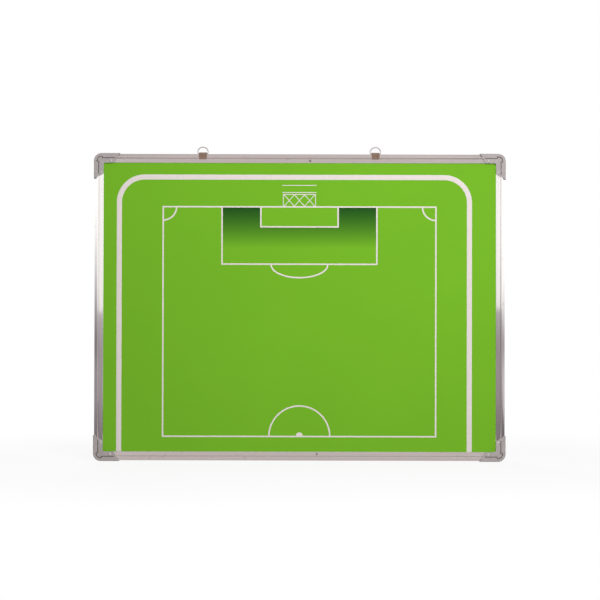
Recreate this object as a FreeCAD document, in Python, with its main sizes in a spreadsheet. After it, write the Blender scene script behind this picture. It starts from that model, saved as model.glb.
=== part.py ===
import FreeCAD, Part
import math
import os
from types import SimpleNamespace
import Sketcher

os.makedirs("parts", exist_ok=True)
doc = FreeCAD.newDocument("tactics_board")

# Driving dimensions in millimetres, grouped by the piece that carries them
sizes = {
    # the framed board, over its rails
    "board_width": 600.0,
    "board_height": 448.0,
    "frame_depth": 14.0,
    # rail section: a hollow bead outside, and two flanges that hold the panel's edge
    "bead_width": 6.6,
    "bead_wall": 1.1,
    "bead_round": 4.8,
    "bead_edge_round": 1.3,
    "bead_hollow_break": 2.2,
    "flange_length": 6.6,
    "flange_thickness": 1.1,
    "flange_setback": 1.4,
    "flange_tip_break": 0.4,
    "flange_groove_width": 0.8,
    "flange_groove_depth": 0.4,
    "rail_cut_back": 13.4,
    # panel: printed film on a steel sheet on a stiff core, with a back sheet
    "panel_edge_gap": 0.3,
    "panel_fit": 0.1,
    "film_thickness": 0.3,
    "steel_thickness": 0.4,
    "back_thickness": 0.4,
    # corner cap: an L-shaped moulding over the ends of two rails
    "cap_fit": 0.1,
    "cap_wall": 0.8,
    "cap_face": 1.2,
    "cap_round": 11.5,
    "cap_inner_round": 3.0,
    "cap_edge_break": 0.6,
    "cap_leg_outer": 37.5,
    "cap_leg_inner": 29.5,
    "groove_width": 1.2,
    "groove_depth": 0.8,
    "groove_inset": 7.0,
    "groove_run": 30.5,
    "groove_arc": 6.9,
    # corner key: an L-shaped bar that joins two rails inside their beads
    "key_fit": 0.1,
    "key_reach": 32.0,
    "key_lead": 1.2,
    "key_inner_break": 1.5,
    # screws
    "screw_shank": 2.0,
    "screw_fit": 0.05,
    "screw_head": 3.8,
    "screw_head_height": 1.0,
    "screw_head_rim": 0.4,
    "rail_screw_length": 6.5,
    "screw_hole_depth": 5.0,
    "cap_screw_level_run": 25.0,
    "cap_screw_upright_run": 28.0,
    "top_screw_place": 15.0,
    "bottom_screw_place": 25.5,
    # hangers: a sheet clip over the top rail's bead, and the ring in its knuckle
    "clip_left_place": 142.0,
    "clip_right_place": 110.6,
    "clip_width": 11.6,
    "clip_thickness": 0.8,
    "clip_fit": 0.1,
    "clip_lip": 1.2,
    "clip_corner": 1.3,
    "ring_wire": 1.6,
    "ring_half_width": 7.6,
    "ring_corner_round": 1.6,
    "ring_rise": 9.4,
    "bar_fit": 0.08,
    "bar_lift": 0.2,
    # how far a cut runs past what it cuts, and how near an edge lies to the point that names it
    "overrun": 2.0,
    "pick_reach": 0.0001,
    "parallel_share": 0.999,
}

sheet = doc.addObject("Spreadsheet::Sheet", "dims")
for row, (alias, number) in enumerate(sizes.items(), start=1):
    sheet.set(f"A{row}", alias.replace("_", " "))
    sheet.set(f"B{row}", str(number))
    sheet.setAlias(f"B{row}", alias)
doc.recompute()


class Size:
    # a length that keeps its expression on the sheet together with its number

    def __init__(self, text, number):
        self.text = text
        self.number = number

    @staticmethod
    def of(other):
        return other if isinstance(other, Size) else Size(str(other), other)

    def __add__(self, other):
        other = Size.of(other)
        return Size(f"({self.text} + {other.text})", self.number + other.number)

    def __sub__(self, other):
        other = Size.of(other)
        return Size(f"({self.text} - {other.text})", self.number - other.number)

    def __mul__(self, other):
        other = Size.of(other)
        return Size(f"({self.text} * {other.text})", self.number * other.number)

    def __truediv__(self, other):
        other = Size.of(other)
        return Size(f"({self.text} / {other.text})", self.number / other.number)

    def __neg__(self):
        return Size(f"(0 - {self.text})", -self.number)


dim = SimpleNamespace(**{alias: Size(f"dims.{alias}", float(sheet.get(alias))) for alias in sizes})

# Sizes that follow from the driving ones; depths count both ways from the rails' middle plane
half_width = dim.board_width / 2
half_height = dim.board_height / 2
half_depth = dim.frame_depth / 2
rail_face = dim.bead_width + dim.flange_length
flange_front = half_depth - dim.flange_setback
slot_half = flange_front - dim.flange_thickness
panel_front = slot_half - dim.panel_fit
panel_inset = dim.bead_width + dim.panel_edge_gap
panel_half_width = half_width - panel_inset
panel_half_height = half_height - panel_inset
flange_middle = dim.bead_width + dim.flange_length / 2
cap_front = half_depth + dim.cap_fit + dim.cap_face
cap_outside = dim.cap_fit + dim.cap_wall
cap_centre = dim.cap_round - cap_outside
level_run = dim.cap_screw_level_run - cap_outside
upright_run = dim.cap_screw_upright_run - cap_outside
shank_radius = dim.screw_shank / 2
shank_hole = shank_radius + dim.screw_fit
wire_radius = dim.ring_wire / 2
bar_height = wire_radius + dim.bar_lift
knuckle_bore = wire_radius + dim.bar_fit
middle_plane = -cap_front

# A flat that touches a rounded corner takes this share of the rounding from each side
flat_touch_share = 2 - math.sqrt(2)

# Flats round a screw or a ring's wire, which keep these small repeats light
screw_sides = 12
wire_sides = 8

along_x = FreeCAD.Vector(1, 0, 0)
along_y = FreeCAD.Vector(0, 1, 0)
along_z = FreeCAD.Vector(0, 0, 1)
nodes = []


def bind(thing, prop, size):
    thing.setExpression(prop, Size.of(size).text)


def place(thing, x, y, z, turn=0):
    # stands a piece in the shared frame, turned about the depth axis by whole quarter turns
    thing.Placement = FreeCAD.Placement(FreeCAD.Vector(), FreeCAD.Rotation(along_y, turn))
    for letter, size in zip("xyz", (x, y, z)):
        bind(thing, f"Placement.Base.{letter}", size)


def new_body(label):
    body = doc.addObject("PartDesign::Body", label)
    body.Label = label
    return body


def new_sketch(body, role, lift=0):
    sketch = body.newObject("Sketcher::SketchObject", f"{body.Name}_sketch")
    plane = next(item for item in body.Origin.OriginFeatures if item.Role == role)
    sketch.AttachmentSupport = (plane, [""])
    sketch.MapMode = "FlatFace"
    bind(sketch, "AttachmentOffset.Base.z", lift)
    return sketch


def spot_of(point):
    return FreeCAD.Vector(*[Size.of(size).number for size in point])


def hold_point(sketch, line, end, point):
    # ties a point to the sketch origin; a bare float is only a first guess, which an arc settles
    for kind, size in zip(("DistanceX", "DistanceY"), point):
        if not isinstance(size, float):
            constraint = Sketcher.Constraint(kind, -1, 1, line, end, Size.of(size).number)
            bind(sketch, f"Constraints[{sketch.addConstraint(constraint)}]", size)


def hold_radius(sketch, line, size):
    constraint = Sketcher.Constraint("Radius", line, size.number)
    bind(sketch, f"Constraints[{sketch.addConstraint(constraint)}]", size)


def draw_outline(sketch, corners, arcs=None):
    # closed outline through the corners; arcs maps a stretch's number to its centre, radius and turn
    arcs = arcs or {}
    first = sketch.GeometryCount
    spots = [spot_of(point) for point in corners]
    ends = []
    for count, start in enumerate(spots):
        stop = spots[(count + 1) % len(spots)]
        if count in arcs:
            centre, size, turn = arcs[count]
            low, high = (start, stop) if turn > 0 else (stop, start)
            circle = Part.Circle(spot_of(centre), along_z, size.number)
            sketch.addGeometry(Part.ArcOfCircle(circle, circle.parameter(low), circle.parameter(high)))
            ends.append((1, 2) if turn > 0 else (2, 1))
        else:
            sketch.addGeometry(Part.LineSegment(start, stop))
            ends.append((1, 2))
    for count, point in enumerate(corners):
        after = (count + 1) % len(corners)
        meeting = (first + count, ends[count][1], first + after, ends[after][0])
        sketch.addConstraint(Sketcher.Constraint("Coincident", *meeting))
        hold_point(sketch, first + count, ends[count][0], point)
    for count, (centre, size, turn) in arcs.items():
        hold_radius(sketch, first + count, size)
        neighbours = corners[count] + corners[(count + 1) % len(corners)]
        if any(isinstance(size, float) for size in neighbours):
            hold_point(sketch, first + count, 3, centre)


def draw_circle(sketch, centre, size):
    line = sketch.addGeometry(Part.Circle(spot_of(centre), along_z, size.number))
    hold_point(sketch, line, 3, centre)
    hold_radius(sketch, line, size)


def rectangle(left, low, right, high):
    return [(left, low), (right, low), (right, high), (left, high)]


def flats(radius, sides):
    # corners of a many-sided outline on a circle round the sketch origin
    step = math.tau / sides
    turns = [step * count for count in range(sides)]
    return [(radius * math.cos(turn), radius * math.sin(turn)) for turn in turns]


def pad(body, sketch, length, both_ways=False):
    feature = body.newObject("PartDesign::Pad", f"{body.Name}_pad")
    feature.Profile = sketch
    feature.SideType = "Symmetric" if both_ways else "One side"
    bind(feature, "Length", length)
    doc.recompute()


def pocket(body, sketch, length, both_ways=False, backwards=False):
    before = body.Shape.Volume
    feature = body.newObject("PartDesign::Pocket", f"{body.Name}_pocket")
    feature.Profile = sketch
    feature.SideType = "Symmetric" if both_ways else "One side"
    feature.Reversed = backwards
    bind(feature, "Length", length)
    doc.recompute()
    if not body.Shape.Volume < before:
        raise RuntimeError(f"{feature.Name} cuts nothing from {body.Label}")


def edges_through(body, direction, points):
    # names of the straight edges that run along a direction through the given points
    found = []
    for count, edge in enumerate(body.Tip.Shape.Edges, start=1):
        straight = edge.Curve.TypeId == "Part::GeomLine"
        if not straight or abs(edge.Curve.Direction.dot(direction)) < dim.parallel_share.number:
            continue
        for point in points:
            across = spot_of(point) - edge.Vertexes[0].Point
            if (across - direction * across.dot(direction)).Length < dim.pick_reach.number:
                found.append(f"Edge{count}")
    return found


def front_face(body):
    faces = body.Tip.Shape.Faces
    front = min(range(len(faces)), key=lambda count: faces[count].CenterOfMass.y)
    return [f"Face{front + 1}"]


def soften(body, picks, size, kind="Fillet"):
    base = body.Tip
    feature = body.newObject(f"PartDesign::{kind}", f"{body.Name}_{kind.lower()}")
    feature.Base = (base, picks)
    bind(feature, "Radius" if kind == "Fillet" else "Size", size)
    doc.recompute()


# Screws on the flanges' middle line: two at each cap, and one along each of the long rails
cap_screw_spots = []
for side in (-1, 1):
    for level in (-1, 1):
        cap_screw_spots.append(((half_width - level_run) * side, (half_height - flange_middle) * level))
        cap_screw_spots.append(((half_width - flange_middle) * side, (half_height - upright_run) * level))
top_screw_spot = (dim.top_screw_place, half_height - flange_middle)
bottom_screw_spot = (dim.bottom_screw_place, flange_middle - half_height)
rail_screw_spots = [top_screw_spot, bottom_screw_spot]
panel_outline = rectangle(-panel_half_width, -panel_half_height, panel_half_width, panel_half_height)


def make_sheet(label, front, thickness, spots):
    # one layer of the panel, drilled at the spots, its front at a depth before the middle plane
    body = new_body(label)
    sketch = new_sketch(body, "XZ_Plane", front - thickness)
    draw_outline(sketch, panel_outline)
    for spot in spots:
        draw_circle(sketch, spot, shank_hole)
    pad(body, sketch, thickness)
    place(body, 0, middle_plane, 0)
    nodes.append(body)
    return body


def make_rail(label, half_span, turn, x, z, screw_places):
    # extruded rail, drawn as the bottom one: outer face down, flanges pointing up
    body = new_body(label)
    wall = dim.bead_wall
    bead = dim.bead_width
    groove = bead + dim.flange_groove_width
    groove_floor = flange_front - dim.flange_groove_depth
    front_side = [
        (half_depth, 0),
        (half_depth, bead),
        (groove_floor, bead),
        (groove_floor, groove),
        (flange_front, groove),
        (flange_front, rail_face),
        (slot_half, rail_face),
        (slot_half, bead),
    ]
    back_side = [(-depth, up) for depth, up in reversed(front_side)]
    sketch = new_sketch(body, "YZ_Plane")
    draw_outline(sketch, front_side + back_side)
    draw_outline(sketch, rectangle(wall - half_depth, wall, half_depth - wall, bead - wall))
    pad(body, sketch, (half_span - dim.rail_cut_back) * 2, both_ways=True)
    for size, depth, up, kind in (
        (dim.bead_round, half_depth, 0, "Fillet"),
        (dim.bead_hollow_break, half_depth - wall, wall, "Chamfer"),
        (dim.bead_edge_round, half_depth, bead, "Fillet"),
    ):
        soften(body, edges_through(body, along_x, [(0, -depth, up), (0, depth, up)]), size, kind)
    tips = edges_through(body, along_x, [(0, -flange_front, rail_face), (0, flange_front, rail_face)])
    soften(body, tips, dim.flange_tip_break, "Chamfer")
    holes = new_sketch(body, "XZ_Plane", flange_front)
    for spot in screw_places:
        draw_circle(holes, (spot, flange_middle), shank_hole)
    pocket(body, holes, flange_front)
    place(body, x, middle_plane, z, turn)
    nodes.append(body)


def make_cap(label, turn, x, z, runs):
    # moulded corner, drawn as the bottom left one: legs along +X and +Z from the rails' outer corner
    body = new_body(label)
    low = -cap_outside
    tip = dim.cap_leg_outer - cap_outside
    heel = dim.cap_leg_inner - cap_outside
    far = tip + dim.overrun
    centre = (cap_centre, cap_centre)
    sketch = new_sketch(body, "XZ_Plane")
    draw_outline(
        sketch,
        [
            (cap_centre, low),
            (tip, low),
            (heel, rail_face),
            (rail_face, rail_face),
            (rail_face, heel),
            (low, tip),
            (low, cap_centre),
        ],
        {6: (centre, dim.cap_round, 1)},
    )
    pad(body, sketch, cap_front * 2, both_ways=True)
    soften(body, edges_through(body, along_y, [(rail_face, 0, rail_face)]), dim.cap_inner_round)
    rims = edges_through(body, along_x, [(0, -cap_front, low), (0, cap_front, low)])
    soften(body, rims, dim.cap_edge_break, "Chamfer")

    # hollow for the beads and the key, then for the flanges and the panel's corner
    inner = -dim.cap_fit
    outer = dim.bead_width + dim.cap_fit
    beads = new_sketch(body, "XZ_Plane")
    draw_outline(
        beads,
        [
            (cap_centre, inner),
            (far, inner),
            (far, outer),
            (outer, outer),
            (outer, far),
            (inner, far),
            (inner, cap_centre),
        ],
        {6: (centre, cap_centre + dim.cap_fit, 1)},
    )
    hollow = half_depth + dim.cap_fit
    pocket(body, beads, hollow * 2, both_ways=True)
    hollow_edges = edges_through(body, along_x, [(0, -hollow, inner), (0, hollow, inner)])
    hollow_break = (dim.bead_round + dim.cap_fit) * flat_touch_share
    soften(body, hollow_edges, hollow_break, "Chamfer")
    flanges = new_sketch(body, "XZ_Plane")
    draw_outline(flanges, rectangle(dim.bead_width, dim.bead_width, far, far))
    pocket(body, flanges, (flange_front + dim.cap_fit) * 2, both_ways=True)

    # engraved line: straight along the legs, stepping out to an arc round the corner
    near = dim.groove_inset - cap_outside - dim.groove_width / 2
    deep = near + dim.groove_width
    rim = dim.groove_arc + dim.groove_width / 2
    hub = rim - dim.groove_width
    step = cap_centre + dim.groove_width
    end = dim.groove_run - cap_outside
    groove = new_sketch(body, "XZ_Plane", cap_front)
    draw_outline(
        groove,
        [
            (end, near),
            (step, near),
            (step, cap_centre - rim),
            (cap_centre, cap_centre - rim),
            (cap_centre - rim, cap_centre),
            (cap_centre - rim, step),
            (near, step),
            (near, end),
            (deep, end),
            (deep, cap_centre),
            (cap_centre - hub, cap_centre),
            (cap_centre, cap_centre - hub),
            (cap_centre, deep),
            (end, deep),
        ],
        {3: (centre, rim, -1), 10: (centre, hub, 1)},
    )
    pocket(body, groove, dim.groove_depth)

    holes = new_sketch(body, "XZ_Plane", cap_front)
    draw_circle(holes, (runs[0], flange_middle), shank_hole)
    draw_circle(holes, (flange_middle, runs[1]), shank_hole)
    pocket(body, holes, cap_front)
    place(body, x, middle_plane, z, turn)
    nodes.append(body)


def make_key(label, turn, x, z):
    # flat bent bar that clears the hollow's broken corners, its corner on the same centre as the cap's
    body = new_body(label)
    low = dim.bead_wall + dim.key_fit
    high = dim.bead_width - low
    tip = dim.key_reach
    sketch = new_sketch(body, "XZ_Plane")
    draw_outline(
        sketch,
        [
            (cap_centre, low),
            (tip, low),
            (tip, high),
            (high, high),
            (high, tip),
            (low, tip),
            (low, cap_centre),
        ],
        {6: ((cap_centre, cap_centre), cap_centre - low, 1)},
    )
    pad(body, sketch, (half_depth - dim.bead_round) * 2, both_ways=True)
    soften(body, edges_through(body, along_y, [(high, 0, high)]), dim.key_inner_break, "Chamfer")
    leads = edges_through(body, along_y, [(tip, 0, high), (high, 0, tip)])
    soften(body, leads, dim.key_lead, "Chamfer")
    place(body, x, middle_plane, z, turn)
    nodes.append(body)


def make_screw(name, spot, seat, length):
    # short screw with a flat-topped head, its seat at a depth before the middle plane
    body = new_body(name)
    head = new_sketch(body, "XZ_Plane")
    draw_outline(head, flats(dim.screw_head / 2, screw_sides))
    pad(body, head, dim.screw_head_height)
    soften(body, front_face(body), dim.screw_head_rim, "Chamfer")
    shank = new_sketch(body, "XZ_Plane", -length)
    draw_outline(shank, flats(shank_radius, screw_sides))
    pad(body, shank, length)
    place(body, spot[0], middle_plane - seat, spot[1])
    return body


def make_group(label, members):
    group = doc.addObject("Part::Compound", label)
    group.Label = label
    group.Links = members
    doc.recompute()
    return group


def make_twin(label, source, normal):
    twin = doc.addObject("Part::Mirroring", label)
    twin.Source = source
    twin.Normal = normal
    doc.recompute()
    return twin


def make_clip(label, x):
    # saddle of sheet metal over the top rail's bead, its lips under the bead, with a knuckle on top
    body = new_body(label)
    inside = half_depth + dim.clip_fit
    outside = inside + dim.clip_thickness
    under = -dim.bead_width - dim.clip_fit
    low = under - dim.clip_thickness
    top = dim.clip_fit + dim.clip_thickness
    lip = half_depth - dim.clip_lip
    half = dim.clip_width / 2
    front_side = [
        (outside, top),
        (outside, low),
        (lip, low),
        (lip, under),
        (inside, under),
        (inside, dim.clip_fit),
    ]
    back_side = [(-depth, up) for depth, up in reversed(front_side)]
    sketch = new_sketch(body, "YZ_Plane")
    draw_outline(sketch, front_side + back_side)
    pad(body, sketch, dim.clip_width, both_ways=True)
    for size, depth, up in (
        (dim.bead_round + dim.clip_fit, inside, dim.clip_fit),
        (dim.bead_round + dim.clip_fit + dim.clip_thickness, outside, top),
        (dim.clip_thickness, outside, low),
    ):
        soften(body, edges_through(body, along_x, [(0, -depth, up), (0, depth, up)]), size)
    corners = new_sketch(body, "XZ_Plane")
    for side in (-1, 1):
        draw_outline(
            corners,
            [
                ((half - dim.clip_corner) * side, low),
                (half * side, low + dim.clip_corner),
                ((half + dim.overrun) * side, low + dim.clip_corner),
                ((half + dim.overrun) * side, low - dim.overrun),
                ((half - dim.clip_corner) * side, low - dim.overrun),
            ],
        )
    pocket(body, corners, (outside + dim.overrun) * 2, both_ways=True)
    shell = knuckle_bore + dim.clip_thickness
    knuckle = new_sketch(body, "YZ_Plane")
    draw_circle(knuckle, (0, bar_height), shell)
    pad(body, knuckle, dim.clip_width, both_ways=True)
    below = new_sketch(body, "YZ_Plane")
    draw_outline(
        below,
        [
            (-shell, -dim.overrun),
            (shell, -dim.overrun),
            (shell, dim.clip_fit),
            (knuckle_bore, dim.clip_fit),
            (knuckle_bore, bar_height),
            (-knuckle_bore, bar_height),
            (-knuckle_bore, dim.clip_fit),
            (-shell, dim.clip_fit),
        ],
    )
    pocket(body, below, dim.clip_width + dim.overrun, both_ways=True)
    bore = new_sketch(body, "YZ_Plane")
    draw_circle(bore, (0, bar_height), knuckle_bore)
    pocket(body, bore, dim.clip_width + dim.overrun, both_ways=True)
    place(body, x, middle_plane, half_height)
    nodes.append(body)


def make_ring(label, x):
    # D-shaped wire ring: its straight bar lies in the knuckle and its bow stands up
    body = new_body(label)
    half = dim.ring_half_width
    bend = dim.ring_corner_round
    bow = dim.ring_rise - half
    path = new_sketch(body, "XZ_Plane")
    draw_outline(
        path,
        [
            (bend - half, 0),
            (half - bend, 0),
            (half, bend),
            (half.number, bow),
            (-half.number, bow),
            (-half, bend),
        ],
        {
            1: ((half - bend, bend), bend, 1),
            3: ((0, bow), half, 1),
            5: ((bend - half, bend), bend, 1),
        },
    )
    section = new_sketch(body, "YZ_Plane")
    draw_outline(section, flats(wire_radius, wire_sides))
    wire = body.newObject("PartDesign::AdditivePipe", f"{body.Name}_wire")
    wire.Profile = section
    wire.Spine = (path, [])
    doc.recompute()
    place(body, x, middle_plane, half_height + bar_height)
    nodes.append(body)


# The panel, from its printed front to its back
steel_front = panel_front - dim.film_thickness
core_front = steel_front - dim.steel_thickness
core_thickness = core_front + panel_front - dim.back_thickness
make_sheet("printed_film", panel_front, dim.film_thickness, rail_screw_spots)
make_sheet("steel_sheet", steel_front, dim.steel_thickness, rail_screw_spots)
core = make_sheet("core_board", core_front, core_thickness, [])
core_holes = new_sketch(core, "XZ_Plane", core_front)
for spot in rail_screw_spots:
    draw_circle(core_holes, spot, shank_hole)
pocket(core, core_holes, dim.screw_hole_depth)
make_sheet("back_sheet", dim.back_thickness - panel_front, dim.back_thickness, [])

# Rails, caps and keys, each turned to its own side or corner
level_holes = [level_run - half_width, half_width - level_run]
upright_holes = [upright_run - half_height, half_height - upright_run]
make_rail("bottom_rail", half_width, 0, 0, -half_height, level_holes + [dim.bottom_screw_place])
make_rail("left_rail", half_height, 90, -half_width, 0, upright_holes)
make_rail("top_rail", half_width, 180, 0, half_height, level_holes + [-dim.top_screw_place])
make_rail("right_rail", half_height, 270, half_width, 0, upright_holes)
for corner, turn, x, z in (
    ("bottom_left", 0, -half_width, -half_height),
    ("top_left", 90, -half_width, half_height),
    ("top_right", 180, half_width, half_height),
    ("bottom_right", 270, half_width, -half_height),
):
    level_first = (level_run, upright_run)
    upright_first = (upright_run, level_run)
    make_cap(f"corner_cap_{corner}", turn, x, z, level_first if turn in (0, 180) else upright_first)
    make_key(f"corner_key_{corner}", turn, x, z)

# One pair of cap screws, down to the flange's inner face, mirrored to the other corners
cap_screw_length = cap_front - slot_half
cap_pair = make_group(
    "cap_screw_pair",
    [
        make_screw("cap_screw_level", cap_screw_spots[-2], cap_front, cap_screw_length),
        make_screw("cap_screw_upright", cap_screw_spots[-1], cap_front, cap_screw_length),
    ],
)
right_screws = make_group("right_cap_screws", [cap_pair, make_twin("lower_twin", cap_pair, along_z)])
nodes.append(make_group("cap_screws", [right_screws, make_twin("left_twin", right_screws, along_x)]))
nodes.append(
    make_group(
        "rail_screws",
        [
            make_screw("rail_screw_top", top_screw_spot, flange_front, dim.rail_screw_length),
            make_screw("rail_screw_bottom", bottom_screw_spot, flange_front, dim.rail_screw_length),
        ],
    )
)

for side, x in (("left", -dim.clip_left_place), ("right", dim.clip_right_place)):
    make_clip(f"hanger_clip_{side}", x)
    make_ring(f"hanger_ring_{side}", x)

doc.recompute()
for item in doc.Objects:
    if "Invalid" in item.State or "Error" in item.State:
        raise RuntimeError(f"{item.Label} failed: {item.State}")
for node in nodes:
    if node.Shape.isNull() or not node.Shape.isValid():
        raise RuntimeError(f"{node.Label} has no valid shape")
for node in nodes:
    node.Shape.exportStep(f"parts/{node.Label}.step")
    print(node.Label, len(node.Shape.Solids), round(node.Shape.Volume, 2), node.Shape.BoundBox)
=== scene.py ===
import math
import bmesh
import bpy
import numpy as np
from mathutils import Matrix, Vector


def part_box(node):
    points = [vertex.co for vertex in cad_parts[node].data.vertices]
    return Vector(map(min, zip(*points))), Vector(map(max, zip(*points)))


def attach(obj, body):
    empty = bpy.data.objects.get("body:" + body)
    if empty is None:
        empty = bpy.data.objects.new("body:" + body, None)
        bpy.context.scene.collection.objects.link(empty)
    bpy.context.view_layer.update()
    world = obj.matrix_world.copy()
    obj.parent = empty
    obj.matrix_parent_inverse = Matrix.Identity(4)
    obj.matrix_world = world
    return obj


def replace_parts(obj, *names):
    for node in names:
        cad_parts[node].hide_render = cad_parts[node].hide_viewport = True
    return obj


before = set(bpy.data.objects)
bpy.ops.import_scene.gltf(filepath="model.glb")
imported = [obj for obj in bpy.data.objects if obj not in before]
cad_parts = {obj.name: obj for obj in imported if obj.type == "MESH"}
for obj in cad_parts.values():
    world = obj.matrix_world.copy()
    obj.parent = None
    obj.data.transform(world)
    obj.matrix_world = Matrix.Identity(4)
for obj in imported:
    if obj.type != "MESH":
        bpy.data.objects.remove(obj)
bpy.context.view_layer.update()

scene = bpy.context.scene
scene.view_settings.view_transform = "Standard"
millimetre = 0.001
mergeReach = 1e-7  # metres
print("frame loaded,", len(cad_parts), "solids")


class Signal:
    # one output socket of a node tree; arithmetic on it adds Math nodes

    def __init__(self, tree, socket=None):
        self.tree = tree
        self.socket = socket

    def node(self, kind, settings, inputs, output=0):
        # adds a node: its settings first, then the values or links of its sockets
        made = self.tree.nodes.new(kind)
        for key, value in settings.items():
            if key == "stops":
                first, *between, last = value
                ramp = made.color_ramp.elements
                ramp[0].position, ramp[0].color = first
                ramp[1].position, ramp[1].color = last
                for place, colour in between:
                    ramp.new(place).color = colour
            else:
                setattr(made, key, value)
        for key, value in inputs.items():
            self.feed(made.inputs[key], value)
        if isinstance(output, tuple):
            return [Signal(self.tree, made.outputs[one]) for one in output]
        return Signal(self.tree, made.outputs[output])

    def feed(self, socket, value):
        if isinstance(value, Signal):
            self.tree.links.new(value.socket, socket)
        else:
            socket.default_value = value

    def maths(self, operation, first, second=0.0):
        return self.node("ShaderNodeMath", {"operation": operation}, {0: first, 1: second})

    def __add__(self, other):
        return self.maths("ADD", self, other)

    def __radd__(self, other):
        return self.maths("ADD", other, self)

    def __sub__(self, other):
        return self.maths("SUBTRACT", self, other)

    def __rsub__(self, other):
        return self.maths("SUBTRACT", other, self)

    def __mul__(self, other):
        return self.maths("MULTIPLY", self, other)

    def __rmul__(self, other):
        return self.maths("MULTIPLY", other, self)

    def __lt__(self, other):
        return self.maths("LESS_THAN", self, other)

    def __gt__(self, other):
        return self.maths("GREATER_THAN", self, other)

    def __abs__(self):
        return self.maths("ABSOLUTE", self)

    def step(self, low, high):
        # soft step: nought at low, one at high
        limits = {"Value": self, "From Min": low, "From Max": high}
        return self.node("ShaderNodeMapRange", {"interpolation_type": "SMOOTHSTEP"}, limits)

    def mix(self, first, second):
        # this value is the factor between two colours
        return self.node("ShaderNodeMix", {"data_type": "RGBA"}, {0: self, 6: first, 7: second}, 2)

    def grain(self, scale, stretch=(1, 1, 1), detail=2.0):
        # noise on these coordinates, its axes stretched one by one
        moved = self.node("ShaderNodeMapping", {}, {"Vector": self, "Scale": stretch})
        return self.node("ShaderNodeTexNoise", {}, {"Vector": moved, "Scale": scale, "Detail": detail})

    def bump(self, strength, distance):
        # this value is the height
        inputs = {"Strength": strength, "Distance": distance, "Height": self}
        return self.node("ShaderNodeBump", {}, inputs)


def paint(red, green, blue):
    # screen colour, 0 to 255, as the linear colour that a socket takes
    share = np.array([red, green, blue]) / 255
    linear = np.where(share > 0.04045, ((share + 0.055) / 1.055) ** 2.4, share / 12.92)
    return (*linear.tolist(), 1.0)


def newFinish(name):
    finish = bpy.data.materials.new(name)
    finish.use_nodes = True
    place = Signal(finish.node_tree).node("ShaderNodeTexCoord", {}, {}, "Object")
    return finish, place


def fillShader(finish, place, values):
    shader = finish.node_tree.nodes["Principled BSDF"]
    for key, value in values.items():
        place.feed(shader.inputs[key], value)


def dress(finish, *names):
    for name in names:
        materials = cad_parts[name].data.materials
        materials.clear()
        materials.append(finish)


# Printed film: a green ground with a shaded penalty area, under a satin wipe-clean face
film = {
    "green": (115, 180, 37),
    "shade": (30, 82, 24),
    "shadeStops": 7,
    "shadeFrom": 0.0865,  # height where the shade begins, and where it is full
    "shadeFull": 0.1435,
    "penaltyHalf": 0.1133,  # the shade's edges lie under the white lines
    "penaltyLow": 0.0636,
    "goalHalf": 0.0564,
    "goalLow": 0.1177,
    "goalLine": 0.147,
    "driftScale": 7.0,
    "pressScale": 1400.0,
    "rollerScale": 60.0,
    "wipeScale": 22.0,
    "leastTone": 0.9,  # the ink's tone, and what its drift, grain and streaks add
    "driftTone": 0.1,
    "pressTone": 0.06,
    "rollerTone": 0.04,
    "roughness": 0.34,
    "wipeMarks": 0.12,  # roughness that wiping adds
    "gloss": 0.14,
}


def makeFilm():
    finish, place = newFinish("printed_film_satin")
    x, z = place.node("ShaderNodeSeparateXYZ", {}, {0: place}, (0, 2))
    # the shade's stops are spaced on the screen scale, as the print was drawn
    shares = np.linspace(0, 1, film["shadeStops"])
    tones = [np.array(film["green"]) * (1 - share) + np.array(film["shade"]) * share for share in shares]
    stops = [(float(share), paint(*tone)) for share, tone in zip(shares, tones)]
    limits = {"Value": z, "From Min": film["shadeFrom"], "From Max": film["shadeFull"]}
    rise = place.node("ShaderNodeMapRange", {}, limits)
    shaded = place.node("ShaderNodeValToRGB", {"stops": stops}, {"Fac": rise})
    inPenalty = (abs(x) < film["penaltyHalf"]) * (z > film["penaltyLow"]) * (z < film["goalLine"])
    inGoal = (abs(x) < film["goalHalf"]) * (z > film["goalLow"])
    ground = (inPenalty * (1 - inGoal)).mix(paint(*film["green"]), shaded)
    # slow drift of the ink, fine press grain, and faint streaks left by the roller
    drift = place.grain(film["driftScale"], detail=3.0)
    press = place.grain(film["pressScale"], detail=1.0)
    roller = place.grain(film["rollerScale"], (1.0, 1.0, 12.0))
    uneven = drift * film["driftTone"] + press * film["pressTone"] + roller * film["rollerTone"]
    tone = film["leastTone"] + uneven
    grey = place.node("ShaderNodeCombineColor", {}, {0: tone, 1: tone, 2: tone})
    darken = {"data_type": "RGBA", "blend_type": "MULTIPLY"}
    inked = place.node("ShaderNodeMix", darken, {0: 1.0, 6: ground, 7: grey}, 2)
    wiped = place.grain(film["wipeScale"], (1.0, 1.0, 5.0), detail=5.0)
    fillShader(finish, place, {
        "Base Color": inked,
        "Roughness": film["roughness"] + wiped * film["wipeMarks"],
        "Specular IOR Level": film["gloss"],
        "Normal": (press * 0.6 + wiped).bump(0.12, 0.00004),
    })
    return finish


filmFinish = makeFilm()
dress(filmFinish, "printed_film")

# White ink of the pitch lines, laid on the film's front
ink = {
    "white": (232, 222, 219),
    "worn": (222, 212, 208),
    "mottleScale": 260.0,
    "pressScale": 1600.0,
    "roughness": 0.5,
    "mottleShine": 0.16,  # roughness that the mottle takes away
    "gloss": 0.25,
    "rise": 0.03,  # millimetres, as are the next two
    "edge": 0.12,
    "front": -12.7,
}


def makeInk():
    finish, place = newFinish("white_line_ink")
    mottle = place.grain(ink["mottleScale"], detail=4.0)
    press = place.grain(ink["pressScale"], detail=1.0)
    worn = (mottle * 0.5 + press * 0.5).step(0.25, 0.6)
    fillShader(finish, place, {
        "Base Color": worn.mix(paint(*ink["worn"]), paint(*ink["white"])),
        "Roughness": ink["roughness"] - mottle * ink["mottleShine"],
        "Specular IOR Level": ink["gloss"],
        "Normal": press.bump(0.1, 0.00003),
    })
    return finish


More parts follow.
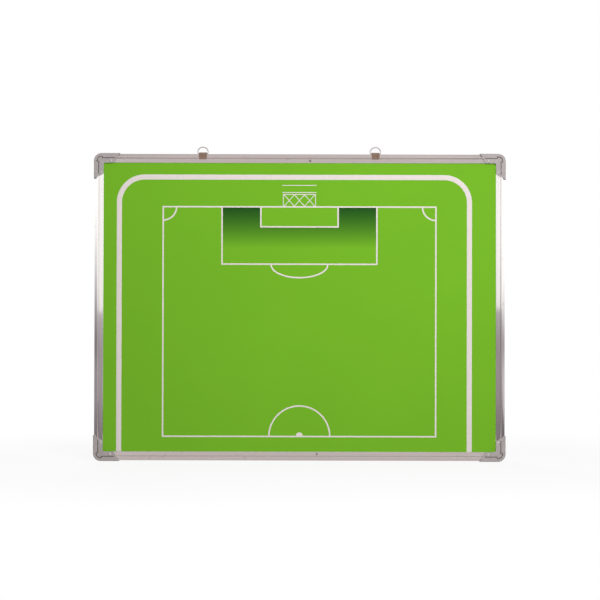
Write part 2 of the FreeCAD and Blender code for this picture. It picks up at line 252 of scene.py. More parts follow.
inkFinish = makeInk()


def quadsOf(rows, columns, closedRows=False, closedColumns=False):
    # corners of the quads between neighbours on a grid, wrapped round where a side is closed
    index = np.arange(rows * columns).reshape(rows, columns)
    if closedRows:
        index = np.vstack([index, index[:1]])
    if closedColumns:
        index = np.hstack([index, index[:, :1]])
    corners = [index[:-1, :-1], index[1:, :-1], index[1:, 1:], index[:-1, 1:]]
    return np.stack(corners, axis=-1).reshape(-1, 4)


def newPiece(name, grids, finish, body):
    # joins grids of points, in millimetres, into one mesh that rides on a body
    points, quads, count = [], [], 0
    for grid, closedRows, closedColumns in grids:
        rows, columns = grid.shape[:2]
        points.append(grid.reshape(-1, 3) * millimetre)
        quads.append(quadsOf(rows, columns, closedRows, closedColumns) + count)
        count += rows * columns
    points = np.vstack(points)
    quads = np.vstack(quads)
    mesh = bpy.data.meshes.new(name)
    mesh.vertices.add(len(points))
    mesh.vertices.foreach_set("co", points.astype(np.float32).ravel())
    mesh.loops.add(quads.size)
    mesh.loops.foreach_set("vertex_index", quads.astype(np.int32).ravel())
    mesh.polygons.add(len(quads))
    mesh.polygons.foreach_set("loop_start", np.arange(0, quads.size, 4, dtype=np.int32))
    mesh.polygons.foreach_set("use_smooth", np.ones(len(quads), bool))
    mesh.update(calc_edges=True)
    merged = bmesh.new()
    merged.from_mesh(mesh)
    bmesh.ops.remove_doubles(merged, verts=merged.verts, dist=mergeReach)  # closes the poles
    merged.to_mesh(mesh)
    merged.free()
    mesh.materials.append(finish)
    piece = bpy.data.objects.new(name, mesh)
    scene.collection.objects.link(piece)
    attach(piece, body)
    return piece


def unit(vectors):
    return vectors / np.linalg.norm(vectors, axis=-1, keepdims=True)


def leftOf(vectors):
    return np.stack([-vectors[:, 1], vectors[:, 0]], axis=-1)


def inkRibbon(path, width, closed=False, lift=0.0):
    # a low ridge carried along a path of X and Z: each point goes sideways along its mitre by the
    # profile's share of the width, and forward by the profile's height, which is nought at the ends
    path = np.asarray(path, float)
    if not closed:
        first = path[0] + unit(path[1] - path[0]) * ink["edge"]
        last = path[-1] + unit(path[-2] - path[-1]) * ink["edge"]
        path = np.vstack([path[:1], first, path[1:-1], last, path[-1:]])
    before = np.roll(path, 1, axis=0)
    after = np.roll(path, -1, axis=0)
    if not closed:
        before[0] = 2 * path[0] - path[1]
        after[-1] = 2 * path[-1] - path[-2]
    arriving = leftOf(unit(path - before))
    side = unit(arriving + leftOf(unit(after - path)))
    side = side / np.sum(side * arriving, axis=-1, keepdims=True)
    half = width / 2
    across = np.array([-half, ink["edge"] - half, half - ink["edge"], half])
    height = np.array([0.0, ink["rise"], ink["rise"], 0.0])
    present = np.ones(len(path))
    if not closed:
        present[[0, -1]] = 0.0
    flat = path[:, None, :] + side[:, None, :] * across[None, :, None]
    front = ink["front"] - lift - present[:, None] * height[None, :]
    return np.stack([flat[..., 0], front, flat[..., 1]], axis=-1), closed, False


def arcPath(centre, reach, start, stop, count):
    # points on an ellipse: the centre plus its two half axes times the turn's cosine and sine
    turn = np.radians(np.linspace(start, stop, count))
    return np.stack([centre[0] + reach[0] * np.cos(turn), centre[1] + reach[1] * np.sin(turn)], axis=-1)


# Pitch print, in millimetres from the board's centre: X to the right and Z up
pitch = {
    "bandWidth": 7.45,
    "bandLeft": -263.8,
    "bandRight": 248.15,
    "bandTop": 190.1,
    "bandRound": 37.0,
    "bandSteps": 41,  # points on each rounded corner; the other steps are points on an arc too
    "bandFoot": -210.6,
    "line": 2.15,
    "left": -199.7,
    "right": 199.1,
    "top": 146.8,
    "bottom": -188.7,
    "cornerArc": 19.6,
    "cornerSteps": 31,
    "areaMiddle": -0.4,
    "penaltyHalf": 113.2,
    "penaltyLow": 63.0,
    "penaltyArc": (41.3, 19.7),
    "penaltySteps": 61,
    "goalHalf": 56.5,
    "goalLow": 117.6,
    "circleMiddle": 0.0,
    "circle": 44.5,
    "circleSteps": 91,
    "spot": 5.0,
    "spotSteps": 31,
    "spotFill": 0.98,  # share of the spot that its ribbon covers
    "fineLine": 1.1,
    "signLevels": (178.3, 167.9),
    "signEnds": (-25.6, 24.4),
    "netEnds": (-24.1, 23.1),
    "netTop": 165.0,
    "netCrosses": (-15.5, -0.5, 14.5),
    "netCrossHalf": 7.4,
    "netLift": 0.004,  # of the cord that crosses in front
}


def makePrint():
    left, right, top, bottom = (pitch[key] for key in ("left", "right", "top", "bottom"))
    line = pitch["line"]
    underGoal = top - line / 2  # lower and upper edges of the goal line
    overGoal = top + line / 2
    overHalfway = bottom + line / 2
    turn, steps = pitch["bandRound"], pitch["bandSteps"]
    shoulder = pitch["bandTop"] - turn
    band = np.vstack([
        [[pitch["bandLeft"], pitch["bandFoot"]]],
        arcPath((pitch["bandLeft"] + turn, shoulder), (turn, turn), 180, 90, steps),
        arcPath((pitch["bandRight"] - turn, shoulder), (turn, turn), 90, 0, steps),
        [[pitch["bandRight"], pitch["bandFoot"]]],
    ])
    newPiece("outer_band", [inkRibbon(band, pitch["bandWidth"])], inkFinish, "board")
    outline = [(left, bottom), (left, top), (right, top), (right, bottom)]
    newPiece("pitch_outline", [inkRibbon(outline, line, True)], inkFinish, "board")

    # arcs stop where they meet the edge of a line
    inner, steps = pitch["cornerArc"], pitch["cornerSteps"]
    cut = math.degrees(math.asin(line / 2 / inner))
    cornerArcs = [
        arcPath((left, top), (inner, inner), 270 + cut, 360 - cut, steps),
        arcPath((right, top), (inner, inner), 180 + cut, 270 - cut, steps),
    ]
    newPiece("corner_arcs", [inkRibbon(arc, line) for arc in cornerArcs], inkFinish, "board")

    areaMiddle = pitch["areaMiddle"]
    areas = []
    for area in ("penalty", "goal"):
        half, low = pitch[area + "Half"], pitch[area + "Low"]
        start, stop = areaMiddle - half, areaMiddle + half
        areas.append(inkRibbon([(start, underGoal), (start, low), (stop, low), (stop, underGoal)], line))
    newPiece("penalty_and_goal_areas", areas, inkFinish, "board")
    belowArea = (areaMiddle, pitch["penaltyLow"] - line / 2)
    arcReach = np.array(pitch["penaltyArc"]) - (0, line / 2)
    penaltyArc = arcPath(belowArea, arcReach, 180, 360, pitch["penaltySteps"])
    newPiece("penalty_arc", [inkRibbon(penaltyArc, line)], inkFinish, "board")

    circleMiddle = pitch["circleMiddle"]
    reach = pitch["circle"]
    cut = math.degrees(math.asin(line / 2 / reach))
    circle = arcPath((circleMiddle, bottom), (reach, reach), cut, 180 - cut, pitch["circleSteps"])
    spot = pitch["spot"]
    # the half spot is a ribbon as wide as its own arc, so that its inner edge meets at the middle
    spotTurn = arcPath((circleMiddle, overHalfway), (spot / 2, spot / 2), 0, 180, pitch["spotSteps"])
    circles = [inkRibbon(circle, line), inkRibbon(spotTurn, spot * pitch["spotFill"])]
    newPiece("centre_circle", circles, inkFinish, "board")

    fine = pitch["fineLine"]
    signLeft, signRight = pitch["signEnds"]
    marks = [inkRibbon([(signLeft, level), (signRight, level)], fine) for level in pitch["signLevels"]]
    netLeft, netRight = pitch["netEnds"]
    high = pitch["netTop"]
    net = [(netLeft, overGoal), (netLeft, high), (netRight, high), (netRight, overGoal)]
    marks.append(inkRibbon(net, fine))
    half = pitch["netCrossHalf"]
    head = high - fine / 2
    for place in pitch["netCrosses"]:
        marks.append(inkRibbon([(place - half, overGoal), (place + half, head)], fine))
        falling = [(place - half, head), (place + half, overGoal)]
        marks.append(inkRibbon(falling, fine, lift=pitch["netLift"]))
    newPiece("goal_mark", marks, inkFinish, "board")


makePrint()
print("print laid on the film")


# Drawn aluminium: the lines run along the rail, so level and upright rails differ
rail = {
    "colour": (0.98, 0.955, 0.94, 1.0),
    "dull": (0.92, 0.885, 0.865, 1.0),
    "mark": (0.7, 0.67, 0.65, 1.0),
    "markShare": 0.35,
    "lineScale": 2600.0,
    "lineStretch": 0.02,  # pattern along the rail over pattern across it
    "bandScale": 240.0,
    "bandStretch": 0.12,
    "markScale": 90.0,
    "levelRoughness": 0.22,
    "uprightRoughness": 0.08,
    "anisotropy": 1.0,
    "creaseShade": (0.6, 0.565, 0.555, 1.0),  # painted shade in the crease between bead and flange, stronger on the level rails
    "creaseInset": 0.0066,  # from the rail's outer face
    "creaseReach": 0.0012,
    "levelCreaseShade": 0.45,
    "uprightCreaseShade": 0.15,
}


def makeRail(name, alongX):
    finish, place = newFinish(name)
    roughness = rail["levelRoughness"] if alongX else rail["uprightRoughness"]
    fine, slow = ((share, 1.0, 1.0) for share in (rail["lineStretch"], rail["bandStretch"]))
    lines = place.grain(rail["lineScale"], fine if alongX else fine[::-1], detail=3.0)
    bands = place.grain(rail["bandScale"], slow if alongX else slow[::-1], detail=4.0)
    marks = place.grain(rail["markScale"], detail=6.0).step(0.62, 0.74)
    tone = lines * 0.5 + bands * 0.5
    colour = tone.step(0.25, 0.7).mix(rail["dull"], rail["colour"])
    # painted shade: the crease between bead and flange is darkened, more on the level rails than on the
    # upright ones
    across = place.node("ShaderNodeSeparateXYZ", {}, {0: place}, 2 if alongX else 0)
    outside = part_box("top_rail")[1][2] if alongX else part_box("right_rail")[1][0]
    fromCrease = abs(abs(across) - (outside - rail["creaseInset"]))
    creaseShadeShare = rail["levelCreaseShade"] if alongX else rail["uprightCreaseShade"]
    crease = fromCrease.step(rail["creaseReach"], 0.0) * (0.6 + bands * 0.8) * creaseShadeShare
    worn = (marks * rail["markShare"]).mix(colour, rail["mark"])
    fillShader(finish, place, {
        "Base Color": crease.mix(worn, rail["creaseShade"]),
        "Metallic": 1.0,
        "Roughness": roughness * (0.7 + tone * 0.6 + marks * 0.3),
        "Anisotropic": rail["anisotropy"],
        "Anisotropic Rotation": 0.25 if alongX else 0.0,  # in whole turns
        "Normal": (lines * 0.7 + bands * 0.3).bump(0.1, 0.00003),
    })
    return finish


dress(makeRail("drawn_aluminium_level", True), "top_rail", "bottom_rail")
dress(makeRail("drawn_aluminium_upright", False), "left_rail", "right_rail")

# Moulded grey caps: matte grain, rubbed lighter along the outer edges, with painted light on their
# slanted end faces, which lie in shade
cap = {
    "grey": (0.4, 0.359, 0.354, 1.0),
    "pale": (0.447, 0.406, 0.4, 1.0),
    "rubbed": (0.55, 0.51, 0.5, 1.0),
    "rubShare": 0.8,
    "rimWidth": 0.0012,
    "rimDepths": (0.0002, 0.0014),  # behind the front, where the rubbing is full and where it ends
    "grooveShade": (0.03, 0.027, 0.026, 1.0),
    "grooveShadeShare": 0.72,
    "cloudScale": 160.0,
    "poreScale": 2200.0,
    "roughness": 0.5,
    "gloss": 0.4,
    "halfWidth": 0.3009,
    "halfHeight": 0.2249,
    "front": -0.0166,
    # the engraved line keeps between these insets from the outside, and ends at the run
    "lineInsets": (0.0034, 0.0081),
    "lineRun": 0.0312,
    "lineDepth": 0.0008,
    "grooveShadeDepths": (0.0001, 0.0004),  # behind the front, where the painted groove shade begins and where it is full
    "grooveShadeBlur": 0.0002,
    # painted light on the slanted end faces, which lie in shade; they start at the leg's length outside,
    # and draw back by the slope further in
    "cut": (0.62, 0.575, 0.565, 1.0),
    "leg": 0.0375,
    "endSlope": 0.567,
    "endBlur": (0.0003, 0.0001),
}


def makeCap():
    finish, place = newFinish("grey_moulding")
    x, y, z = place.node("ShaderNodeSeparateXYZ", {}, {0: place}, (0, 1, 2))
    cloud = place.grain(cap["cloudScale"], detail=5.0)
    pores = place.grain(cap["poreScale"], detail=2.0)
    # insets from the outer faces: the lesser runs across a leg, the greater along it
    inX = cap["halfWidth"] - abs(x)
    inZ = cap["halfHeight"] - abs(z)
    nearer = place.maths("MINIMUM", inX, inZ)
    further = place.maths("MAXIMUM", inX, inZ)
    front = cap["front"]
    rubFull, rubEnd = cap["rimDepths"]
    nearFront = y.step(front + rubEnd, front + rubFull)
    rubbed = nearer.step(cap["rimWidth"], 0.0) * nearFront * cloud.step(0.35, 0.65)
    least, most = cap["lineInsets"]
    engraved = (nearer > least) * (nearer < most) * (further < cap["lineRun"])
    # painted shade: the engraved groove is darkened nearly to black
    begin, full = cap["grooveShadeDepths"]
    lineFloor = front + cap["lineDepth"]
    inGroove = y.step(front + begin, front + full) * y.step(lineFloor + cap["grooveShadeBlur"], lineFloor)
    sunk = engraved * inGroove
    body = cloud.step(0.3, 0.75).mix(cap["grey"], cap["pale"])
    worn = (rubbed * cap["rubShare"]).mix(body, cap["rubbed"])
    # painted light: the slanted end faces, barely lit by the lamp, are made paler
    before, reached = cap["endBlur"]
    ends = (further + nearer * cap["endSlope"]).step(cap["leg"] - before, cap["leg"] - reached)
    endsLit = ends.mix(worn, cap["cut"])
    fillShader(finish, place, {
        "Base Color": (sunk * cap["grooveShadeShare"]).mix(endsLit, cap["grooveShade"]),
        "Roughness": cap["roughness"] + pores * 0.14 - rubbed * 0.12,
        "Specular IOR Level": cap["gloss"],
        "Normal": (pores * 0.7 + cloud * 0.3).bump(0.3, 0.00006),
    })
    return finish


cornerNames = ("top_left", "top_right", "bottom_left", "bottom_right")
dress(makeCap(), *[f"corner_cap_{corner}" for corner in cornerNames])

# Corner keys inside the rails
cornerKey = {
    "black": (0.03, 0.03, 0.032, 1.0),
    "pale": (0.08, 0.08, 0.083, 1.0),
    "cloudScale": 120.0,
    "poreScale": 1800.0,
    "roughness": 0.45,
}


def makeKey():
    finish, place = newFinish("black_moulding")
    pores = place.grain(cornerKey["poreScale"], detail=2.0)
    cloud = place.grain(cornerKey["cloudScale"], detail=4.0)
    fillShader(finish, place, {
        "Base Color": cloud.mix(cornerKey["black"], cornerKey["pale"]),
        "Roughness": cornerKey["roughness"] + pores * 0.2,
        "Normal": pores.bump(0.2, 0.00005),
    })
    return finish


dress(makeKey(), *[f"corner_key_{corner}" for corner in cornerNames])

# Panel layers behind the film, and the plain back
panel = {
    "back": (0.46, 0.465, 0.47, 1.0),
    "backPale": (0.56, 0.565, 0.57, 1.0),
    "backRub": (0.66, 0.665, 0.67, 1.0),
    "rubShare": 0.3,
    "lineScale": 520.0,
    "driftScale": 14.0,
    "rubScale": 70.0,
    "peelScale": 900.0,
    "backMetal": 0.35,
    "backRoughness": 0.42,
    "steel": (0.62, 0.62, 0.61, 1.0),
    "steelDull": (0.5, 0.5, 0.49, 1.0),
    "steelScale": 80.0,
    "steelMetal": 0.8,
    "steelRoughness": 0.35,
    "fibre": (0.36, 0.25, 0.14, 1.0),
    "fibrePale": (0.5, 0.37, 0.23, 1.0),
    "fibreScale": 420.0,
    "fibreRoughness": 0.8,
    "fleck": (0.2, 0.13, 0.07, 1.0),
    "fleckShare": 0.4,
    "fleckScale": 1500.0,
}


def makeBack():
    finish, place = newFinish("coated_back_sheet")
    # roller lines of the coating, cloudy drift, and small dull rubs
    lines = place.grain(panel["lineScale"], (1.0, 1.0, 0.03), detail=3.0)
    drift = place.grain(panel["driftScale"], detail=5.0)
    rubs = place.grain(panel["rubScale"], (1.0, 1.0, 0.5), detail=6.0).step(0.6, 0.75)
    peel = place.grain(panel["peelScale"], detail=1.0)
    tone = (lines * 0.35 + drift * 0.65).step(0.3, 0.7)
    coat = tone.mix(panel["back"], panel["backPale"])
    fillShader(finish, place, {
        "Base Color": (rubs * panel["rubShare"]).mix(coat, panel["backRub"]),
        "Metallic": panel["backMetal"],
        "Roughness": panel["backRoughness"] + lines * 0.1 + rubs * 0.12,
        "Normal": (peel * 0.6 + lines * 0.4).bump(0.2, 0.00005),
    })
    return finish


def makeSteel():
    finish, place = newFinish("coated_steel_edge")
    drift = place.grain(panel["steelScale"], detail=4.0)
    fillShader(finish, place, {
        "Base Color": drift.mix(panel["steelDull"], panel["steel"]),
        "Metallic": panel["steelMetal"],
        "Roughness": panel["steelRoughness"] + drift * 0.15,
    })
    return finish


def makeFibre():
    finish, place = newFinish("pressed_fibre_core")
    fibres = place.grain(panel["fibreScale"], (1.0, 6.0, 1.0), detail=6.0)
    flecks = place.grain(panel["fleckScale"], detail=2.0).step(0.55, 0.7)
    mat = fibres.mix(panel["fibre"], panel["fibrePale"])
    fillShader(finish, place, {
        "Base Color": (flecks * panel["fleckShare"]).mix(mat, panel["fleck"]),
        "Roughness": panel["fibreRoughness"] + fibres * 0.1,
        "Normal": fibres.bump(0.4, 0.0002),
    })
    return finish


dress(makeBack(), "back_sheet")
dress(makeSteel(), "steel_sheet")
dress(makeFibre(), "core_board")

# Hanger clips: bronze-plated sheet, lighter along the top fold, partly rubbed plating and partly a
# painted highlight
clip = {
    "bronze": (0.4, 0.28, 0.21, 1.0),
    "bright": (0.54, 0.415, 0.33, 1.0),
    "dark": (0.215, 0.147, 0.11, 1.0),
    "tarnishShare": 0.6,
    "foldRubAndHighlightShare": 0.6,
    "lineScale": 1500.0,
    "cloudScale": 420.0,
    "metal": 0.75,
    "roughness": 0.42,
    "top": 0.2253,
    "foldReach": 0.0035,  # below the top
}


def makeClip():
    finish, place = newFinish("bronze_plated_sheet")
    z = place.node("ShaderNodeSeparateXYZ", {}, {0: place}, 2)
    lines = place.grain(clip["lineScale"], (0.06, 1.0, 1.0), detail=3.0)
    cloud = place.grain(clip["cloudScale"], detail=5.0)
    # the top fold is lighter: partly rubbed plating, partly a painted highlight where the top catches the
    # light
    foldRubAndHighlight = z.step(clip["top"] - clip["foldReach"], clip["top"]) * cloud.step(0.35, 0.6)
    tarnish = cloud.step(0.5, 0.72)
    base = (tarnish * clip["tarnishShare"]).mix(clip["bronze"], clip["dark"])
    fillShader(finish, place, {
        "Base Color": (foldRubAndHighlight * clip["foldRubAndHighlightShare"]).mix(base, clip["bright"]),
        "Metallic": clip["metal"],
        "Roughness": clip["roughness"] + tarnish * 0.16 - foldRubAndHighlight * 0.1,
        "Normal": (lines * 0.6 + cloud * 0.4).bump(0.25, 0.00005),
    })
    return finish


dress(makeClip(), "hanger_clip_left", "hanger_clip_right")
print("solids dressed")

# Hanger rings: a bent round wire, its straight bar in the clip's knuckle, in millimetres
ring = {
    "wire": 0.8,  # radius
    "half": 7.6,
    "bend": 1.6,
    "rise": 9.4,
    "around": 20,  # points round the wire, then along its bar, bends and bow
    "barSteps": 13,
    "bendSteps": 9,
    "bowSteps": 61,
    "level": 225.0,
    "depth": -8.3,
    "places": {"left": -142.0, "right": 110.6},
    "colour": (0.95, 0.92, 0.9, 1.0),
    "dull": (0.8, 0.77, 0.75, 1.0),
    "drawnScale": 2400.0,
    "cloudScale": 500.0,
    "metal": 0.8,
    "roughness": 0.26,
}


def makeWire():
    finish, place = newFinish("drawn_steel_wire")
    drawn = place.grain(ring["drawnScale"], detail=3.0)
    cloud = place.grain(ring["cloudScale"], detail=4.0)
    tone = (drawn * 0.5 + cloud * 0.5).step(0.3, 0.7)
    fillShader(finish, place, {
        "Base Color": tone.mix(ring["dull"], ring["colour"]),
        "Metallic": ring["metal"],
        "Roughness": ring["roughness"] + tone * 0.12,
        "Normal": drawn.bump(0.15, 0.00002),
    })
    return finish


def ringGrid(place):
    # a circle carried along a closed D: the bar, two small bends and the bow, one arc after another
    half, bend = ring["half"], ring["bend"]
    bow = ring["rise"] - half
    inner = half - bend
    barSteps, bendSteps = ring["barSteps"], ring["bendSteps"]
    bar = np.stack([np.linspace(-inner, inner, barSteps), np.zeros(barSteps)], axis=-1)
    line = np.vstack([
        bar[:-1],
        arcPath((inner, bend), (bend, bend), -90, 0, bendSteps),
        arcPath((0, bow), (half, half), 0, 180, ring["bowSteps"]),
        arcPath((-inner, bend), (bend, bend), 180, 270, bendSteps)[:-1],
    ])
    out = leftOf(unit(np.roll(line, -1, axis=0) - np.roll(line, 1, axis=0)))
    turn = np.linspace(0, math.tau, ring["around"], endpoint=False)
    flat = line[:, None, :] + out[:, None, :] * np.cos(turn)[None, :, None] * ring["wire"]
    deep = np.broadcast_to(np.sin(turn) * ring["wire"], flat.shape[:2])
    points = np.stack([flat[..., 0] + place, deep + ring["depth"], flat[..., 1] + ring["level"]], axis=-1)
    return points, True, True


wireFinish = makeWire()
for side, place in ring["places"].items():
    piece = newPiece(f"wire_ring_{side}", [ringGrid(place)], wireFinish, f"ring_{side}")
    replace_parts(piece, f"hanger_ring_{side}")
print("rings bent")

# Screws: a domed head with a cross recess, on a short plain shank, in millimetres
screw = {
    "head": 1.9,
    "rim": 0.4,
    "height": 1.0,
    "shank": 1.0,
    "tip": 0.3,
    "recessArm": 1.15,
    "recessHalf": 0.26,
    "recessDepth": 0.5,
    "recessRise": 0.45,  # share of the depth lost at the arms' ends
    "wallRun": 0.08,
    "endRun": 0.12,
    "around": 72,  # points round the screw, then from the dome's top to its rim
    "domeSteps": 30,
    "capSeat": -16.6,
    "capLength": 3.8,
    "railSeat": -13.9,
    "railLength": 6.5,
    "capPlaces": ((275.9, 214.1), (290.1, 196.9)),
    "railPlaces": ((15.0, 214.1), (25.5, -214.1)),
    # the cap screws' zinc is a lighter copy of the rail screws' zinc, a painted highlight standing in for
    # glints
    "paintedGlintZinc": ((0.7, 0.69, 0.67, 1.0), (0.88, 0.87, 0.85, 1.0)),
    "paintedGlintMetal": 0.62,
    "dullZinc": ((0.5, 0.48, 0.47, 1.0), (0.72, 0.7, 0.69, 1.0)),
    "dullMetal": 1.0,
    "cloudScale": 900.0,
    "fineScale": 3200.0,
    "roughness": 0.17,
}


def makeZinc(name, tones, metal):
    finish, place = newFinish(name)
    cloud = place.grain(screw["cloudScale"], detail=4.0)
    fine = place.grain(screw["fineScale"], detail=2.0)
    tone = (cloud * 0.6 + fine * 0.4).step(0.3, 0.7)
    fillShader(finish, place, {
        "Base Color": tone.mix(*tones),
        "Metallic": metal,
        "Roughness": screw["roughness"] + tone * 0.13,
        "Normal": fine.bump(0.15, 0.00002),
    })
    return finish


def screwGrid(place, seat, length):
    # a turned profile: at each turn the radius and height of the dome, rim, seat, shank and tip;
    # the dome is a sphere's cap, less a cross whose depth falls off softly at its walls
    head, rise = screw["head"], screw["height"] - screw["rim"]
    ball = (head * head + rise * rise) / (2 * rise)
    dome = np.linspace(0.0, head, screw["domeSteps"])
    crown = screw["height"] - ball + np.sqrt(ball * ball - dome * dome)
    shank = screw["shank"]
    tail = np.array([[head, 0.0], [shank, 0.0], [shank, screw["tip"] - length], [0.0, -length]])
    radius = np.concatenate([dome, tail[:, 0]])
    height = np.concatenate([crown, tail[:, 1]])
    turn = np.linspace(0, math.tau, screw["around"], endpoint=False)
    x = radius[:, None] * np.cos(turn)[None, :]
    z = radius[:, None] * np.sin(turn)[None, :]
    along = np.maximum(abs(x), abs(z))
    across = np.minimum(abs(x), abs(z))
    wall = np.clip((screw["recessHalf"] - across) / screw["wallRun"] + 0.5, 0, 1)
    end = np.clip((screw["recessArm"] - along) / screw["endRun"] + 0.5, 0, 1)
    onDome = (np.arange(len(radius)) < len(dome))[:, None]
    slope = 1 - screw["recessRise"] * along / screw["recessArm"]
    y = seat - (height[:, None] - wall * end * onDome * slope * screw["recessDepth"])
    return np.stack([x + place[0], y, z + place[1]], axis=-1), False, True


# painted highlight: the cap screws take a lighter copy of the zinc in place of glints
paintedGlintZinc = makeZinc("zinc_plating_painted_glint", screw["paintedGlintZinc"], screw["paintedGlintMetal"])
dullZinc = makeZinc("dull_zinc_plating", screw["dullZinc"], screw["dullMetal"])
signs = [(side, level) for side in (-1, 1) for level in (-1, 1)]
capSpots = [(side * x, level * z) for x, z in screw["capPlaces"] for side, level in signs]
capGrids = [screwGrid(spot, screw["capSeat"], screw["capLength"]) for spot in capSpots]
railGrids = [screwGrid(spot, screw["railSeat"], screw["railLength"]) for spot in screw["railPlaces"]]
screwSets = (
    ("cap_screw_heads", "cap_screws", capGrids, paintedGlintZinc),
    ("rail_screw_heads", "rail_screws", railGrids, dullZinc),
)
for name, node, grids, finish in screwSets:
    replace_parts(newPiece(name, grids, finish, "board"), node)
print("screws turned")

# Floor, light and camera
stage = {
    "floorFront": -0.9,
    "floorBack": 1.6,
    "floorHalf": 2.0,
    "floorLevel": -0.2249,
    "floorSteps": 9,
    "floorTones": ((0.88, 0.88, 0.88, 1.0), (0.92, 0.92, 0.92, 1.0)),
    "floorGlow": 0.88,  # share of plain white that the camera sees near the board
    "floorFade": (0.45, 0.85),  # the floor turns all white between these distances
    "ambient": 0.25,  # light from the white surroundings, which are seen as plain white
    "lampSize": 0.5,
    "lamps": {  # watts and place
        "key": (18.6, (0.35, -1.4, 0.5)),
        "back_fill": (14.0, (-0.35, 1.4, 0.5)),
    },
    "cameraPlace": (0.00066, -2.5152, -0.01556),
    "cameraTarget": (0.00066, 0.0, 0.01078),
    "cameraRoll": -0.13,
    "lens": 102.735,
    "sensor": 36.0,
}


def seenRays(signal):
    # one for rays that show the background: from the camera, off metal, through glass
    camera, glossy, through = signal.node(
        "ShaderNodeLightPath", {}, {}, ("Is Camera Ray", "Is Glossy Ray", "Is Transmission Ray")
    )
    return signal.maths("MINIMUM", camera + glossy + through, 1.0)


def stageSheet(name, grid, finish):
    rows, columns = grid.shape[:2]
    mesh = bpy.data.meshes.new(name)
    mesh.from_pydata(grid.reshape(-1, 3).tolist(), [], quadsOf(rows, columns).tolist())
    mesh.materials.append(finish)
    sheet = bpy.data.objects.new(name, mesh)
    scene.collection.objects.link(sheet)
    return sheet


def makeFloor():
    finish, place = newFinish("pale_floor")
    tree = finish.node_tree
    away = place.node("ShaderNodeVectorMath", {"operation": "LENGTH"}, {0: place}, "Value")
    far = away.step(*stage["floorFade"])
    cloud = place.grain(3.0, detail=3.0)
    fillShader(finish, place, {
        "Base Color": cloud.mix(*stage["floorTones"]),
        "Roughness": 0.9,
        "Specular IOR Level": 0.0,
    })
    glow = place.node("ShaderNodeEmission", {}, {"Color": (1, 1, 1, 1), "Strength": 1.0})
    share = seenRays(place) * (stage["floorGlow"] + far * (1 - stage["floorGlow"]))
    shader = Signal(tree, tree.nodes["Principled BSDF"].outputs[0])
    mixed = place.node("ShaderNodeMixShader", {}, {0: share, 1: shader, 2: glow})
    tree.links.new(mixed.socket, tree.nodes["Material Output"].inputs["Surface"])
    span = np.linspace(-stage["floorHalf"], stage["floorHalf"], stage["floorSteps"])
    deep = np.linspace(stage["floorFront"], stage["floorBack"], stage["floorSteps"])
    across, along = np.meshgrid(span, deep, indexing="ij")
    level = np.full_like(across, stage["floorLevel"])
    floor = stageSheet("floor", np.stack([across, along, level], axis=-1), finish)
    floor.visible_diffuse = False


# A dim room for the metal to mirror: grey before the level rails, a bright band before the uprights
room = {
    "radius": 3.0,
    "height": 2.6,
    "around": 73,
    "lift": 0.0004,  # above the floor
    "floorRise": 0.02,  # what lies lower counts as floor
    "fanHalf": 0.255,  # half the width of board whose level rails mirror the plain grey
    "fanReach": 2.53,  # over this distance the mirrored width doubles
    "fanBlur": 0.01,
    "fanTone": (0.55, 0.495, 0.49, 1.0),
    "fanFloor": (0.515, 0.453, 0.446, 1.0),
    "fanBright": (0.75, 0.69, 0.68, 1.0),  # high up on the right
    "fanBrightFrom": 0.14,
    "fanBrightRun": 0.1,
    "fanBrightHeights": (0.6, 1.6),
    "sides": (0.9, 1.9),  # the front turns into the sides between these distances
    "frontReach": (0.4, 2.4),  # the floor turns into the front wall between these
    "lowFloor": (0.18, 0.165, 0.18, 1.0),
    "lowFront": (0.29, 0.265, 0.29, 1.0),
    "lowNear": (0.43, 0.405, 0.43, 1.0),  # just under the bright band
    "nearHeights": (-0.13, 0.01),
    "rightDim": 0.17,  # share of light that the front wall loses on the right
    "rightDimPlaces": (0.25, 0.45),
    "lowLeft": (0.16, 0.145, 0.16, 1.0),
    "lowRight": (0.38, 0.35, 0.36, 1.0),
    "footLeft": (0.3, 0.28, 0.3, 1.0),  # foot of the side walls
    "footRight": (0.56, 0.52, 0.53, 1.0),
    "footHeights": (-0.08, -0.19),
    "bandTone": (1.12, 1.12, 1.12, 1.0),
    "bandDim": (0.95, 0.93, 0.92, 1.0),
    "bandToneHeights": (-0.1, 0.3),
    "bandLow": 0.0082,
    "bandSlant": 0.01,  # rise of the lower edge towards the right
    "bandBlur": 0.004,
    "sideEarly": 0.16,  # how much lower it begins at the sides, and how much higher it is full
    "leftLate": 0.41,
    "rightLate": 0.07,
    "bandHigh": (0.5, 0.56),
    "highTone": (0.4, 0.35, 0.345, 1.0),
}


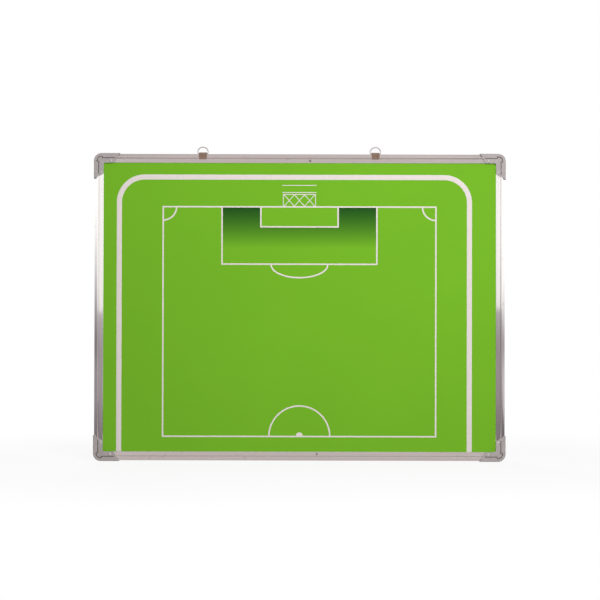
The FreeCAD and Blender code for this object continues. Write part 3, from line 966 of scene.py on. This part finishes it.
def makeRoom():
    # a can round the board, seen by mirror rays alone: each height has one radius, turned about Z
    finish, place = newFinish("dim_room")
    tree = finish.node_tree
    x, z = place.node("ShaderNodeSeparateXYZ", {}, {0: place}, (0, 2))
    far = place.node("ShaderNodeVectorMath", {"operation": "LENGTH"}, {0: place}, "Value")
    ground, rise = stage["floorLevel"], room["floorRise"]
    sideBegin, sideFull = room["sides"]
    left = x.step(-sideBegin, -sideFull) * z.step(ground, ground + rise)
    right = x.step(sideBegin, sideFull)
    front = far.step(*room["frontReach"]).mix(room["lowFloor"], room["lowFront"])
    near = z.step(*room["nearHeights"]).mix(front, room["lowNear"])
    dimmed = (x.step(*room["rightDimPlaces"]) * room["rightDim"]).mix(near, (0.0, 0.0, 0.0, 1.0))
    foot = z.step(*room["footHeights"])
    lowLeft = foot.mix(room["lowLeft"], room["footLeft"])
    lowRight = foot.mix(room["lowRight"], room["footRight"])
    low = left.mix(right.mix(dimmed, lowRight), lowLeft)
    # the band begins sharply in front, and slowly towards both sides
    edge = room["bandLow"] + x * room["bandSlant"]
    begin = edge - room["bandBlur"] - (left + right) * room["sideEarly"]
    full = edge + room["bandBlur"] + left * room["leftLate"] + right * room["rightLate"]
    bright = z.step(*room["bandToneHeights"]).mix(room["bandDim"], room["bandTone"])
    band = z.step(begin, full).mix(low, bright)
    wall = z.step(*room["bandHigh"]).mix(band, room["highTone"])
    # the fan widens with distance, as what a flat rail mirrors does
    spread = 1 + far * (1 / room["fanReach"])
    inFan = (abs(x) - room["fanHalf"] * spread).step(room["fanBlur"], -room["fanBlur"])
    onFloor = z.step(ground + rise, ground + rise / 2)
    onRight = (x - room["fanBrightFrom"] * spread).step(0.0, room["fanBrightRun"])
    upRight = onRight * z.step(*room["fanBrightHeights"])
    fan = upRight.mix(onFloor.mix(room["fanTone"], room["fanFloor"]), room["fanBright"])
    glow = place.node("ShaderNodeEmission", {}, {"Color": inFan.mix(wall, fan), "Strength": 1.0})
    tree.links.new(glow.socket, tree.nodes["Material Output"].inputs["Surface"])
    foundation = ground + room["lift"]
    radius = np.array([0.0, 1.0, 1.0, 0.0]) * room["radius"]
    height = np.array([foundation, foundation, room["height"], room["height"]])
    turn = np.linspace(0, math.tau, room["around"])
    grid = np.stack([
        np.cos(turn)[:, None] * radius,
        np.sin(turn)[:, None] * radius,
        np.broadcast_to(height, (len(turn), len(height))),
    ], axis=-1)
    can = stageSheet("dim_room", grid, finish)
    can.visible_camera = False
    can.visible_diffuse = False
    can.visible_shadow = False


def makeWorld():
    world = bpy.data.worlds.new("studio")
    world.use_nodes = True
    scene.world = world
    tree = world.node_tree
    signal = Signal(tree)
    strength = stage["ambient"] + seenRays(signal) * (1 - stage["ambient"])
    background = tree.nodes["Background"]
    background.inputs["Color"].default_value = (1, 1, 1, 1)
    signal.feed(background.inputs["Strength"], strength)


def aim(thing, place, target, roll=0.0):
    thing.location = place
    away = np.array(place) - np.array(target)
    thing.rotation_euler = (
        math.atan2(math.hypot(away[0], away[1]), away[2]),
        math.radians(roll),
        math.atan2(away[0], -away[1]),
    )


makeFloor()
makeRoom()
makeWorld()
for name, (power, place) in stage["lamps"].items():
    light = bpy.data.lights.new(name, "AREA")
    light.energy = power
    light.size = stage["lampSize"]
    lamp = bpy.data.objects.new(name, light)
    scene.collection.objects.link(lamp)
    aim(lamp, place, (0, 0, 0))
    lamp.visible_camera = False
    lamp.visible_glossy = False  # the metal mirrors the room alone
lens = bpy.data.cameras.new("camera")
lens.lens = stage["lens"]
lens.sensor_width = stage["sensor"]
camera = bpy.data.objects.new("camera", lens)
scene.collection.objects.link(camera)
aim(camera, stage["cameraPlace"], stage["cameraTarget"], stage["cameraRoll"])
scene.camera = camera
print("stage lit")
